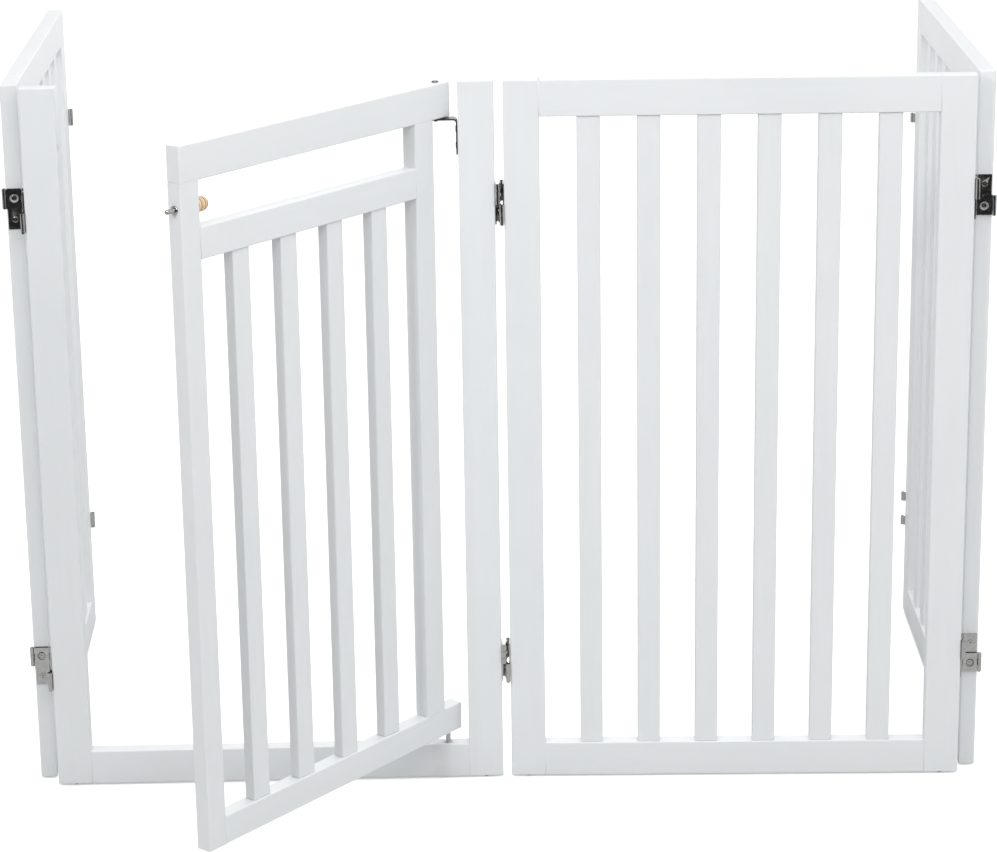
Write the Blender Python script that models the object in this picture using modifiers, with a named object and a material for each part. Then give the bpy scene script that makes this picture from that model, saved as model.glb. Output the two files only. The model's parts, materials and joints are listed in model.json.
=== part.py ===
"""Free-standing folding pet gate: four wooden panels on double-action hinges, one of them with a swing door.

Metres, +Z up. The door panel lies along X and its front faces -Y. The two outer panels are folded back, the
plain panel carries on to the right of the door panel, and the door stands open towards the front. The origin
is on the floor, under the centre of the whole gate's bounding box.
"""

import math

import bmesh
import bpy
from mathutils import Matrix, Vector

# Panels
PANEL_WIDTH = 0.505
PANEL_HEIGHT = 0.800
BOARD = 0.018
STILE_WIDTH = 0.0385
TOP_RAIL_HEIGHT = 0.040
BOTTOM_RAIL_HEIGHT = 0.0395
SLAT_WIDTH = 0.025
SLAT_DEPTH = 0.013
PANEL_SLATS = 6
SLAT_TENON = 0.004
EASED_EDGE = 0.0014
SLAT_EASED_EDGE = 0.001
JOINT_END_EASE = 0.2

# Small gap left between pieces that touch
FIT = 0.0003

# Glide feet
FOOT_RADIUS = 0.004
FOOT_HEIGHT = 0.0022
PANEL_BASE = FOOT_HEIGHT + FIT

# How far each fold and the door stand open, in degrees from the flat, closed gate
CENTRE_FOLD = 1.75
LEFT_FOLD = 88.7
RIGHT_FOLD = 90.5
DOOR_SWING = 50.5

# Double-action hinges between panel edges
HINGE_GAP = 0.010
HINGE_HEIGHTS = {"upper": 0.665, "lower": 0.137}
LEAF_HEIGHT = 0.045
LEAF_WIDTH = 0.015
LEAF_THICKNESS = 0.0012
PIN_FROM_EDGE = 0.0027
PIN_FROM_FACE = 0.0016
BARREL_RADIUS = 0.0024
PIN_RADIUS = 0.001
PIN_BORE_RADIUS = 0.0013
PIN_HEAD_RADIUS = 0.0019
PIN_HEAD_HEIGHT = 0.0007
BARREL_START = 0.0003
BARREL_END = 0.0219
KNUCKLE_START = 0.0075
KNUCKLE_END = 0.0147
LEAF_SCREW_HEIGHT = 0.012
LEAF_SCREW_RADIUS = 0.0018
LEAF_SCREW_HEAD_RADIUS = 0.0036
LINK_HOLE_RADIUS = 0.005
END_PIN_FROM_FACE = 0.0029
END_PIN_BORE_RADIUS = 0.0012
END_KNUCKLE_REACH = 0.0220
END_KNUCKLE_SPLIT = 0.0105
PIN_X = HINGE_GAP / 2 - PIN_FROM_EDGE
PIN_Y = BOARD / 2 + PIN_FROM_FACE
HINGE_SEGMENTS = 12

# Door
PIVOT_INSET = 0.0235
LATCH_SIDE_GAP = 0.0055
DOOR_TOP = 0.7975
DOOR_BOTTOM = 0.054
DOOR_TOP_RAIL_HEIGHT = 0.038
SECOND_RAIL_TOP = 0.7125
SECOND_RAIL_HEIGHT = 0.033
DOOR_BOTTOM_RAIL_HEIGHT = 0.0315
LATCH_STILE_WIDTH = 0.026
HINGE_STILE_WIDTH = 0.030
HINGE_STILE_START = 0.015
RAIL_EXTENSION = 0.0134
DOOR_SLATS = 4
DOORWAY = PANEL_WIDTH - 2 * STILE_WIDTH
DOOR_REACH = DOORWAY - PIVOT_INSET - LATCH_SIDE_GAP
PIVOT_X = -HINGE_GAP / 2 - STILE_WIDTH - PIVOT_INSET

# Pivot hardware
PIVOT_RADIUS = 0.002
PIVOT_BORE_RADIUS = 0.0023
TOP_PIN_HEAD_RADIUS = 0.0037
TOP_PIN_HEAD_HEIGHT = 0.0014
BOTTOM_POST_RADIUS = 0.0028
BOTTOM_FLANGE_RADIUS = 0.005
BOTTOM_FLANGE_HEIGHT = 0.0012
BOTTOM_PIN_INSERT = 0.009
BOTTOM_SHANK_LENGTH = 0.015
BRACKET_WIDTH = 0.014
BRACKET_THICKNESS = 0.0018
BRACKET_DROP = 0.039
BRACKET_REACH = 0.030
BRACKET_CLEARANCE = 0.0006
BRACKET_BEND = 0.003
BRACKET_SCREW_RADIUS = 0.002
BRACKET_SCREW_DROPS = (0.012, 0.030)

# Latch, along its own axis from the door's outer edge, inwards
LATCH_HEIGHT = 0.733
BOLT_RADIUS = 0.0025
BOLT_THROW = 0.012
BOLT_TIP_ROUND = 0.0012
BOLT_COLLAR_RADIUS = 0.0038
BOLT_COLLAR_START = 0.0036
BOLT_COLLAR_LENGTH = 0.0015
LATCH_BORE_RADIUS = 0.0043
LATCH_SHOULDER = 0.003
LATCH_GUIDE_RADIUS = 0.0028
FERRULE_FLANGE_RADIUS = 0.0047
FERRULE_FLANGE_HEIGHT = 0.0008
FERRULE_SLEEVE_RADIUS = 0.004
FERRULE_SLEEVE_LENGTH = 0.003
SPRING_WIRE_RADIUS = 0.00035
SPRING_COIL_RADIUS = 0.00325
SPRING_TURNS = 6
SPRING_POINTS_PER_TURN = 12
KNOB_SOCKET_DEPTH = 0.008
STRIKE_RADIUS = 0.0045
STRIKE_DEPTH = 0.012
KNOB_NECK_RADIUS = 0.0042
KNOB_NECK_LENGTH = 0.002
KNOB_NECK_FLARE = 0.0003
KNOB_RADIUS = 0.0076
KNOB_SHOULDER = 0.0038
KNOB_SHOULDER_EASE = 0.0005
KNOB_BEAD = 0.0062
KNOB_GROOVE = 0.0080
KNOB_GROOVE_RADIUS = 0.0065
KNOB_CROWN_START = 0.0098
KNOB_CROWN_STEPS = 4
KNOB_LENGTH = 0.0180

ROUND_SEGMENTS = 16
OVERSHOOT = 0.002

GATE = "pet_gate"


# Scene, materials and object helpers

def clear_scene():
    for old in list(bpy.data.objects):
        bpy.data.objects.remove(old, do_unlink=True)


def make_collection(name):
    made = bpy.data.collections.new(name)
    bpy.context.scene.collection.children.link(made)
    return made


def make_material(name, colour, roughness, metallic=0.0):
    made = bpy.data.materials.new(name)
    made.use_nodes = True
    shader = made.node_tree.nodes["Principled BSDF"]
    shader.inputs["Base Color"].default_value = (*colour, 1.0)
    shader.inputs["Roughness"].default_value = roughness
    shader.inputs["Metallic"].default_value = metallic
    made.diffuse_color = (*colour, 1.0)
    return made


def add_empty(name, parent, location, turn=0.0):
    """A guide empty at a place in its parent's frame, turned about Z by degrees."""
    empty = bpy.data.objects.new(name, None)
    empty.empty_display_size = 0.02
    PARTS.objects.link(empty)
    empty.parent = parent
    empty.location = location
    empty.rotation_euler = (0.0, 0.0, math.radians(turn))
    return empty


def add_part(name, mesh, material, parent, location=(0.0, 0.0, 0.0), rotation=(0.0, 0.0, 0.0)):
    part = bpy.data.objects.new(name, mesh)
    PARTS.objects.link(part)
    part.parent = parent
    part.location = location
    part.rotation_euler = rotation
    if not mesh.materials:
        mesh.materials.append(material)
    return part


def add_tool(name, mesh, location=(0.0, 0.0, 0.0), rotation=(0.0, 0.0, 0.0)):
    """A hidden object that another one is joined to or cut by."""
    tool = bpy.data.objects.new(name, mesh)
    TOOLS.objects.link(tool)
    tool.location = location
    tool.rotation_euler = rotation
    tool.hide_render = True
    tool.display_type = "WIRE"
    return tool


def box_mesh(name, size):
    """A box centred on its own origin."""
    mesh = bpy.data.meshes.new(name)
    shape = bmesh.new()
    bmesh.ops.create_cube(shape, size=1.0)
    bmesh.ops.scale(shape, vec=size, verts=shape.verts)
    shape.to_mesh(mesh)
    shape.free()
    return mesh


def cone_mesh(name, bottom_radius, top_radius, height, segments):
    """A closed cylinder or cone that stands on its own origin."""
    mesh = bpy.data.meshes.new(name)
    shape = bmesh.new()
    bmesh.ops.create_cone(
        shape,
        cap_ends=True,
        segments=segments,
        radius1=bottom_radius,
        radius2=top_radius,
        depth=height,
        matrix=Matrix.Translation((0.0, 0.0, height / 2)),
    )
    shape.to_mesh(mesh)
    shape.free()
    return mesh


def smooth(mesh):
    mesh.shade_smooth()
    mesh.set_sharp_from_angle(angle=math.radians(35))
    return mesh


def ease_edges(board, along, width, segments, end_share):
    """Rounds a board's long edges, and the edges round its two ends by a share of that."""
    mesh = board.data
    weights = mesh.attributes.new("bevel_weight_edge", "FLOAT", "EDGE")
    for edge, weight in zip(mesh.edges, weights.data):
        first, second = (mesh.vertices[i].co for i in edge.vertices)
        weight.value = 1.0 if abs(first[along] - second[along]) > 1e-6 else end_share
    modifier = board.modifiers.new("eased_edges", "BEVEL")
    modifier.width = width
    modifier.segments = segments
    modifier.limit_method = "WEIGHT"


def boolean(part, tool, operation):
    modifier = part.modifiers.new(tool.name, "BOOLEAN")
    modifier.operation = operation
    modifier.solver = "EXACT"
    modifier.object = tool
    return modifier


def evaluated_mesh(source, name):
    """The mesh that an object's modifiers give, as data of its own."""
    bpy.context.view_layer.update()
    seen = source.evaluated_get(bpy.context.evaluated_depsgraph_get())
    mesh = bpy.data.meshes.new_from_object(seen)
    mesh.name = name
    return mesh


def turned_mesh(name, profile, steps=ROUND_SEGMENTS):
    """A body turned about Z from (radius, height) points that run down its outer side, top to bottom."""
    mesh = bpy.data.meshes.new(name + "_profile")
    points = [Vector((radius, 0.0, height)) for radius, height in profile]
    closed = all(radius > 0 for radius, _ in profile)
    count = len(points)
    edges = [(i, (i + 1) % count) for i in range(count if closed else count - 1)]
    mesh.from_pydata(points, edges, [])
    turned = add_tool(name + "_turned", mesh)
    screw = turned.modifiers.new("turned", "SCREW")
    screw.steps = steps
    screw.render_steps = steps
    screw.use_merge_vertices = True
    screw.merge_threshold = 0.00001
    return smooth(evaluated_mesh(turned, name))


# Wooden panels

def add_board(name, parent, x_range, z_range, end_share=JOINT_END_EASE):
    """A rectangular board in a panel's frame, from side to side and bottom to top, centred in its depth."""
    size = (x_range[1] - x_range[0], BOARD, z_range[1] - z_range[0])
    centre = (sum(x_range) / 2, 0.0, sum(z_range) / 2)
    board = add_part(name, box_mesh(name, size), WHITE_PAINT, parent, centre)
    along = 0 if size[0] > size[2] else 2
    ease_edges(board, along, EASED_EDGE, 2, end_share)
    return board


def add_slat(name, parent, x_range, z_range):
    """An upright slat, thinner than the boards round it and centred in their depth."""
    size = (x_range[1] - x_range[0], SLAT_DEPTH, z_range[1] - z_range[0])
    centre = (sum(x_range) / 2, 0.0, sum(z_range) / 2)
    slat = add_part(name, box_mesh(name, size), WHITE_PAINT, parent, centre)
    ease_edges(slat, 2, SLAT_EASED_EDGE, 1, JOINT_END_EASE)
    return slat


def add_feet(prefix, parent, sides):
    """Glide feet under a panel's stiles, on the sides asked for."""
    places = {"left": STILE_WIDTH / 2, "right": PANEL_WIDTH - STILE_WIDTH / 2}
    for side in sides:
        name = f"{prefix}_{side}_foot"
        mesh = smooth(cone_mesh(name, FOOT_RADIUS * 0.9, FOOT_RADIUS, FOOT_HEIGHT, ROUND_SEGMENTS))
        add_part(name, mesh, BLACK_PLASTIC, parent, (places[side], 0.0, 0.0))


def add_stiles(prefix, parent):
    """The two full-height stiles of a panel."""
    height = (PANEL_BASE, PANEL_BASE + PANEL_HEIGHT)
    right_span = (PANEL_WIDTH - STILE_WIDTH, PANEL_WIDTH)
    left_stile = add_board(f"{prefix}_left_stile", parent, (0.0, STILE_WIDTH), height, 1.0)
    right_stile = add_board(f"{prefix}_right_stile", parent, right_span, height, 1.0)
    return left_stile, right_stile


def rail_spans():
    """The height spans of a plain panel's bottom rail and top rail."""
    top = PANEL_BASE + PANEL_HEIGHT
    return (PANEL_BASE, PANEL_BASE + BOTTOM_RAIL_HEIGHT), (top - TOP_RAIL_HEIGHT, top)


def slat_spans(low, high, count):
    """The side-to-side spans of slats spread evenly between two inner edges."""
    space = (high - low - count * SLAT_WIDTH) / (count + 1)
    starts = [low + space + i * (space + SLAT_WIDTH) for i in range(count)]
    return [(start, start + SLAT_WIDTH) for start in starts]


def add_plain_panel(prefix, parent):
    """A panel of separate stiles, rails and slats."""
    add_stiles(prefix, parent)
    inner = (STILE_WIDTH + FIT, PANEL_WIDTH - STILE_WIDTH - FIT)
    bottom, top = rail_spans()
    add_board(f"{prefix}_bottom_rail", parent, inner, bottom)
    add_board(f"{prefix}_top_rail", parent, inner, top)
    height = (bottom[1] + FIT, top[0] - FIT)
    for number, span in enumerate(slat_spans(*inner, PANEL_SLATS), start=1):
        add_slat(f"{prefix}_slat_{number}", parent, span, height)


def add_glued_panel(prefix, parent):
    """A panel whose rails and slats are glued up as one piece between its stiles."""
    add_stiles(prefix, parent)
    inner = (STILE_WIDTH + FIT, PANEL_WIDTH - STILE_WIDTH - FIT)
    bottom, top = rail_spans()
    add_part(f"{prefix}_rails_and_slats", infill_mesh(inner, bottom, top), WHITE_PAINT, parent)


def infill_mesh(inner, bottom, top):
    """Two rails with slats tenoned into them, joined into one body."""
    if "infill" in bpy.data.meshes:
        return bpy.data.meshes["infill"]
    rail = add_board("infill_base", None, inner, bottom)
    pieces = [add_board("infill_top", None, inner, top)]
    height = (bottom[1] - SLAT_TENON, top[0] + SLAT_TENON)
    for span in slat_spans(*inner, PANEL_SLATS):
        pieces.append(add_slat("infill_slat", None, span, height))
    for piece in pieces:
        move_to_tools(piece)
        boolean(rail, piece, "UNION")
    move_to_tools(rail)
    mesh = evaluated_mesh(rail, "infill")
    mesh.transform(rail.matrix_world)
    return mesh


def move_to_tools(piece):
    PARTS.objects.unlink(piece)
    TOOLS.objects.link(piece)
    piece.hide_render = True
    piece.display_type = "WIRE"


# Double-action hinges. A hinge's own frame has its origin in the middle of the gap between two flat panels,
# halfway up the leaves. The left leaf's pins are at -PIN_X and the right leaf's at +PIN_X.

def barrel_tool(radius, x, y, low, high):
    return add_tool("barrel", cone_mesh("barrel", radius, radius, high - low, HINGE_SEGMENTS), (x, y, low))


def plate_tool(x_range, y_range, z_range):
    size = [high - low for low, high in (x_range, y_range, z_range)]
    centre = [(high + low) / 2 for low, high in (x_range, y_range, z_range)]
    return add_tool("plate", box_mesh("plate", size), centre)


def leaf_plate():
    """A leaf's flat plate on the left panel's edge, with its two countersunk screw holes."""
    left = -HINGE_GAP / 2 + FIT
    right = left + LEAF_THICKNESS
    plate = plate_tool((left, right), (-LEAF_WIDTH / 2, LEAF_WIDTH / 2), (-LEAF_HEIGHT / 2, LEAF_HEIGHT / 2))
    spare = OVERSHOOT / 4
    flare = (LEAF_SCREW_HEAD_RADIUS - LEAF_SCREW_RADIUS) / LEAF_THICKNESS * spare
    depth = LEAF_THICKNESS + 2 * spare
    for height in (-LEAF_SCREW_HEIGHT, LEAF_SCREW_HEIGHT):
        radii = (LEAF_SCREW_RADIUS - flare, LEAF_SCREW_HEAD_RADIUS + flare)
        cone = cone_mesh("countersink", *radii, depth, HINGE_SEGMENTS)
        tool = add_tool("countersink", cone, (left - spare, 0.0, height), (0.0, math.pi / 2, 0.0))
        boolean(plate, tool, "DIFFERENCE")
    return plate


def leaf_strap(side, low, high):
    """The strap that carries a leaf's plate out to one of its barrels, on the front (-1) or the back (1)."""
    left = -HINGE_GAP / 2 + FIT
    reach = sorted((side * (LEAF_WIDTH / 2 - OVERSHOOT / 4), side * PIN_Y))
    return plate_tool((left + FIT / 6, left + LEAF_THICKNESS), reach, (low, high))


def leaf_knuckle(side, upwards):
    """One knuckle on a leaf with its pin and the pin's outer head, in the upper (1) or lower (-1) half."""
    low, high = sorted((upwards * KNUCKLE_START, upwards * KNUCKLE_END))
    pin_end = BARREL_END + FIT + PIN_HEAD_HEIGHT / 2
    start, end = sorted((upwards * BARREL_START, upwards * pin_end))
    head = BARREL_END + FIT
    head_low, head_high = sorted((upwards * head, upwards * (head + PIN_HEAD_HEIGHT)))
    return [
        leaf_strap(side, low, high),
        barrel_tool(BARREL_RADIUS, -PIN_X, side * PIN_Y, low, high),
        barrel_tool(PIN_RADIUS, -PIN_X, side * PIN_Y, start, end),
        barrel_tool(PIN_HEAD_RADIUS, -PIN_X, side * PIN_Y, head_low, head_high),
    ]


def whole_barrel(side, upwards):
    """A full-length barrel on a leaf with its strap and head."""
    low, high = sorted((upwards * BARREL_START, upwards * BARREL_END))
    head = BARREL_END + FIT + PIN_HEAD_HEIGHT
    head_low, head_high = sorted((upwards * (BARREL_END - FIT), upwards * head))
    return [
        leaf_strap(side, low, high),
        barrel_tool(BARREL_RADIUS, -PIN_X, side * PIN_Y, low, high),
        barrel_tool(PIN_HEAD_RADIUS, -PIN_X, side * PIN_Y, head_low, head_high),
    ]


def link_pieces(near, far, near_end=True):
    """A link plate in the upper half between two upright pins, with knuckles outside the leaf's own."""
    start, end = Vector((*near, 0.0)), Vector((*far, 0.0))
    along = end - start
    turn = math.atan2(-along.x, along.y)
    clear = BARREL_RADIUS + FIT
    centre = (start + end) / 2 + Vector((0.0, 0.0, (BARREL_START + BARREL_END) / 2))
    size = (LEAF_THICKNESS, along.length - 2 * clear, BARREL_END - BARREL_START)
    pieces = [add_tool("link_plate", box_mesh("link_plate", size), centre, (0.0, 0.0, turn))]
    bands = ((BARREL_START, KNUCKLE_START - FIT), (KNUCKLE_END + FIT, BARREL_END))
    ends = [(start, 1), (end, -1)] if near_end else [(end, -1)]
    for low, high in bands:
        for pin, way in ends:
            reach = clear + OVERSHOOT / 4
            middle = pin + way * along.normalized() * reach / 2 + Vector((0.0, 0.0, (low + high) / 2))
            strap = box_mesh("link_strap", (LEAF_THICKNESS, reach, high - low))
            pieces.append(add_tool("link_strap", strap, middle, (0.0, 0.0, turn)))
            pieces.append(barrel_tool(BARREL_RADIUS, pin.x, pin.y, low, high))
    hole = cone_mesh("link_hole", LINK_HOLE_RADIUS, LINK_HOLE_RADIUS, HINGE_GAP, HINGE_SEGMENTS)
    quarter = Matrix.Rotation(turn, 4, "Z") @ Matrix.Rotation(math.pi / 2, 4, "Y")
    place = centre.copy()
    place.z = LEAF_SCREW_HEIGHT
    offset = quarter @ Vector((0.0, 0.0, -HINGE_GAP / 2))
    cutters = [add_tool("link_hole", hole, place + offset, quarter.to_euler())]
    for pin, _ in ends:
        cutters.append(pin_bore(pin.x, pin.y))
    return pieces, cutters


def pin_bore(x, y):
    return barrel_tool(PIN_BORE_RADIUS, x, y, BARREL_START - OVERSHOOT, BARREL_END + OVERSHOOT)


def fuse(name, base, pieces, cutters=()):
    for piece in pieces:
        boolean(base, piece, "UNION")
    for cutter in cutters:
        boolean(base, cutter, "DIFFERENCE")
    mesh = evaluated_mesh(base, name)
    mesh.transform(base.matrix_world)
    return smooth(mesh)


def folded_half_mesh():
    """A leaf with the link that stays against it while the hinge is folded back."""
    pieces = whole_barrel(-1, 1) + leaf_knuckle(1, -1)
    link, cutters = link_pieces((-PIN_X, -PIN_Y), (-PIN_X, PIN_Y))
    return fuse("folded_hinge_half", leaf_plate(), pieces + link, cutters[:1] + cutters[2:])


def leaf_mesh():
    """A leaf alone, with a knuckle and pin in front above and one behind below."""
    return fuse("hinge_leaf", leaf_plate(), leaf_knuckle(-1, 1) + leaf_knuckle(1, -1))


def open_leaf_mesh():
    """A leaf alone whose upper barrel is whole, because its own link is carried by the other leaf."""
    return fuse("open_hinge_leaf", leaf_plate(), whole_barrel(-1, 1) + leaf_knuckle(1, -1))


def link_mesh(name, near_end=True):
    """A link in the upper half between the left leaf's front pin and the right leaf's back pin."""
    pieces, cutters = link_pieces((-PIN_X, -PIN_Y), (PIN_X, PIN_Y), near_end)
    return fuse(name, pieces[0], pieces[1:], cutters)


def end_leaf_mesh(name, bands):
    """A plain leaf with open knuckles on the back, for a loose pin that joins on a further panel."""
    y = BOARD / 2 + END_PIN_FROM_FACE
    left = -HINGE_GAP / 2 + FIT
    pieces = []
    for low, high in bands:
        reach = (LEAF_WIDTH / 2 - OVERSHOOT / 4, y)
        pieces.append(plate_tool((left + FIT / 6, left + LEAF_THICKNESS), reach, (low, high)))
        pieces.append(barrel_tool(BARREL_RADIUS, -PIN_X, y, low, high))
    reach = END_KNUCKLE_REACH + OVERSHOOT
    return fuse(name, leaf_plate(), pieces, [barrel_tool(END_PIN_BORE_RADIUS, -PIN_X, y, -reach, reach)])


def add_end_leaves(left_wing, right_wing):
    """The leaves on the gate's free ends: a middle knuckle on the left and two outer ones on the right."""
    middle = end_leaf_mesh("middle_knuckle_leaf", ((FIT - END_KNUCKLE_SPLIT, END_KNUCKLE_SPLIT - FIT),))
    outer_bands = ((-END_KNUCKLE_REACH, -END_KNUCKLE_SPLIT), (END_KNUCKLE_SPLIT, END_KNUCKLE_REACH))
    outer = end_leaf_mesh("outer_knuckle_leaf", outer_bands)
    for level, height in HINGE_HEIGHTS.items():
        z = PANEL_BASE + height
        left_place = (-HINGE_GAP / 2, 0.0, z)
        right_place = (PANEL_WIDTH + HINGE_GAP / 2, 0.0, z)
        add_part(f"left_wing_{level}_end_leaf", middle, NICKEL, left_wing, left_place, TURNED_OVER)
        add_part(f"right_wing_{level}_end_leaf", outer, NICKEL, right_wing, right_place)


TURNED_OVER = (0.0, math.pi, 0.0)


def add_folded_hinges(prefix, left_frame, left_name, right_frame, right_name):
    """The two hinges at a folded corner: one half on the left panel's edge, one on the right panel's."""
    mesh = folded_half_mesh()
    for level, height in HINGE_HEIGHTS.items():
        z = PANEL_BASE + height
        right_edge = (PANEL_WIDTH + HINGE_GAP / 2, 0.0, z)
        left_edge = (-HINGE_GAP / 2, 0.0, z)
        add_part(f"{prefix}_{level}_hinge_{left_name}", mesh, NICKEL, left_frame, right_edge)
        add_part(f"{prefix}_{level}_hinge_{right_name}", mesh, NICKEL, right_frame, left_edge, TURNED_OVER)


def add_centre_hinges(door_frame, link, back_link, plain_frame):
    """The two hinges between the door panel and the plain panel, each of two leaves and two links."""
    leaf = leaf_mesh()
    open_leaf = open_leaf_mesh()
    front_link = link_mesh("front_link")
    rear_link = link_mesh("rear_link", near_end=False)
    for level, height in HINGE_HEIGHTS.items():
        z = PANEL_BASE + height
        name = f"centre_{level}_hinge"
        add_part(f"{name}_left_leaf", leaf, NICKEL, door_frame, (PANEL_WIDTH + HINGE_GAP / 2, 0.0, z))
        right_place = (-HINGE_GAP / 2, 0.0, z)
        add_part(f"{name}_right_leaf", open_leaf, NICKEL, plain_frame, right_place, TURNED_OVER)
        add_part(f"{name}_front_link", front_link, NICKEL, link, (PIN_X, PIN_Y, z))
        add_part(f"{name}_back_link", rear_link, NICKEL, back_link, (PIN_X, -PIN_Y, z), TURNED_OVER)


# Door

def add_door_boards(door):
    """The door's frame and slats. X runs from the latch side, at -DOOR_REACH, to the pivot."""
    top = PANEL_BASE + DOOR_TOP
    bottom = PANEL_BASE + DOOR_BOTTOM
    rail_bottom = top - DOOR_TOP_RAIL_HEIGHT
    rail_top = bottom + DOOR_BOTTOM_RAIL_HEIGHT
    second = (PANEL_BASE + SECOND_RAIL_TOP - SECOND_RAIL_HEIGHT, PANEL_BASE + SECOND_RAIL_TOP)
    latch_inner = -DOOR_REACH + LATCH_STILE_WIDTH
    hinge_inner = -HINGE_STILE_START - HINGE_STILE_WIDTH
    between = (latch_inner + FIT, hinge_inner - FIT)
    top_rail = add_board("door_top_rail", door, (-DOOR_REACH, RAIL_EXTENSION), (rail_bottom, top), 1.0)
    add_board("door_second_rail", door, between, second)
    bottom_rail = add_board("door_bottom_rail", door, (latch_inner + FIT, RAIL_EXTENSION), (bottom, rail_top))
    latch_stile = add_board("door_latch_stile", door, (-DOOR_REACH, latch_inner), (bottom, rail_bottom - FIT))
    add_board("door_hinge_stile", door, (hinge_inner, -HINGE_STILE_START), (rail_top + FIT, rail_bottom - FIT))
    height = (rail_top + FIT, second[0] - FIT)
    for number, span in enumerate(slat_spans(*between, DOOR_SLATS), start=1):
        add_slat(f"door_slat_{number}", door, span, height)
    return top_rail, bottom_rail, latch_stile


def cut_upright_bore(part, name, radius, low, high):
    """Bores a part along its parent's Z axis."""
    bore = add_tool(name, cone_mesh(name, radius, radius, high - low, ROUND_SEGMENTS))
    bore.parent = part.parent
    bore.location = (0.0, 0.0, low)
    boolean(part, bore, "DIFFERENCE")


def add_pivots(frame, door, top_rail, bottom_rail, sill):
    """The top pin through the door's top rail and bracket, and the bottom pin between sill and door."""
    top = PANEL_BASE + DOOR_TOP
    rail_bottom = top - DOOR_TOP_RAIL_HEIGHT
    leg_bottom = rail_bottom - BRACKET_CLEARANCE - BRACKET_THICKNESS
    cut_upright_bore(top_rail, "top_pin_bore", PIVOT_BORE_RADIUS, rail_bottom - OVERSHOOT, top + OVERSHOOT)
    head = top + FIT + TOP_PIN_HEAD_HEIGHT
    tip = leg_bottom - OVERSHOOT
    top_pin = (
        (0.0, head),
        (TOP_PIN_HEAD_RADIUS * 0.8, head),
        (TOP_PIN_HEAD_RADIUS, head - TOP_PIN_HEAD_HEIGHT / 2),
        (TOP_PIN_HEAD_RADIUS, top + FIT),
        (PIVOT_RADIUS, top + FIT),
        (PIVOT_RADIUS, tip),
        (0.0, tip),
    )
    add_part("door_top_pin", turned_mesh("door_top_pin", top_pin), DARK_STEEL, door)

    sill_top = PANEL_BASE + BOTTOM_RAIL_HEIGHT
    door_bottom = PANEL_BASE + DOOR_BOTTOM
    shank = sill_top - BOTTOM_SHANK_LENGTH
    insert = door_bottom + BOTTOM_PIN_INSERT
    flange = sill_top + FIT + BOTTOM_FLANGE_HEIGHT
    bore_low = door_bottom - OVERSHOOT
    cut_upright_bore(bottom_rail, "bottom_pin_bore", PIVOT_BORE_RADIUS, bore_low, insert + OVERSHOOT)
    cut_pivot_hole(sill, frame, "sill_bore", shank - OVERSHOOT, sill_top + OVERSHOOT)
    bottom_pin = (
        (0.0, insert),
        (PIVOT_RADIUS, insert),
        (PIVOT_RADIUS, door_bottom - FIT),
        (BOTTOM_POST_RADIUS, door_bottom - FIT),
        (BOTTOM_POST_RADIUS, flange),
        (BOTTOM_FLANGE_RADIUS, flange),
        (BOTTOM_FLANGE_RADIUS, sill_top + FIT),
        (PIVOT_RADIUS, sill_top + FIT),
        (PIVOT_RADIUS, shank),
        (0.0, shank),
    )
    mesh = turned_mesh("door_bottom_pin", bottom_pin)
    add_part("door_bottom_pin", mesh, DARK_STEEL, frame, (PIVOT_X, 0.0, 0.0))


def cut_pivot_hole(part, frame, name, low, high):
    """Bores a fixed part along the door's pivot axis."""
    bore = add_tool(name, cone_mesh(name, PIVOT_BORE_RADIUS, PIVOT_BORE_RADIUS, high - low, ROUND_SEGMENTS))
    bore.parent = frame
    bore.location = (PIVOT_X, 0.0, low)
    boolean(part, bore, "DIFFERENCE")


def bracket_outline():
    """The L of the pivot bracket in X and Z, with a round bend, seen from the front, from its top."""
    inner = BRACKET_BEND
    outer = BRACKET_BEND + BRACKET_THICKNESS
    points = [(-BRACKET_REACH, 0.0), (-BRACKET_REACH, -BRACKET_THICKNESS)]
    steps = 5
    for i in range(steps + 1):
        angle = math.pi / 2 * (1 - i / steps)
        points.append((-outer + inner * math.cos(angle), -outer + inner * math.sin(angle)))
    points += [(-BRACKET_THICKNESS, -BRACKET_DROP), (0.0, -BRACKET_DROP)]
    for i in range(steps + 1):
        angle = math.pi / 2 * i / steps
        points.append((-outer + outer * math.cos(angle), -outer + outer * math.sin(angle)))
    return points


def add_bracket(frame):
    """The L bracket on the doorway's right-hand stile, bored for the top pin and for two screws."""
    outline = bpy.data.curves.new("bracket_outline", "CURVE")
    outline.dimensions = "2D"
    outline.fill_mode = "BOTH"
    outline.extrude = BRACKET_WIDTH / 2
    points = bracket_outline()
    spline = outline.splines.new("POLY")
    spline.points.add(len(points) - 1)
    for point, (x, z) in zip(spline.points, points):
        point.co = (x, z, 0.0, 1.0)
    spline.use_cyclic_u = True
    flat = add_tool("bracket_flat", outline)
    mesh = evaluated_mesh(flat, "door_pivot_bracket")
    weld(mesh)
    mesh.transform(Matrix.Rotation(math.pi / 2, 4, "X"))
    stile_face = -HINGE_GAP / 2 - STILE_WIDTH
    top = PANEL_BASE + DOOR_TOP - DOOR_TOP_RAIL_HEIGHT - BRACKET_CLEARANCE
    bracket = add_part("door_pivot_bracket", mesh, DARK_STEEL, frame, (stile_face - FIT, 0.0, top))
    cut_pivot_hole(bracket, frame, "bracket_bore", top - BRACKET_THICKNESS - OVERSHOOT, top + OVERSHOOT)
    radius = BRACKET_SCREW_RADIUS
    for drop in BRACKET_SCREW_DROPS:
        hole = cone_mesh("bracket_screw_hole", radius, radius, BOARD, ROUND_SEGMENTS)
        tool = add_tool("bracket_screw_hole", hole, rotation=(0.0, math.pi / 2, 0.0))
        tool.parent = frame
        tool.location = (stile_face - BOARD / 2, 0.0, top - drop)
        boolean(bracket, tool, "DIFFERENCE")
    return bracket


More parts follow.
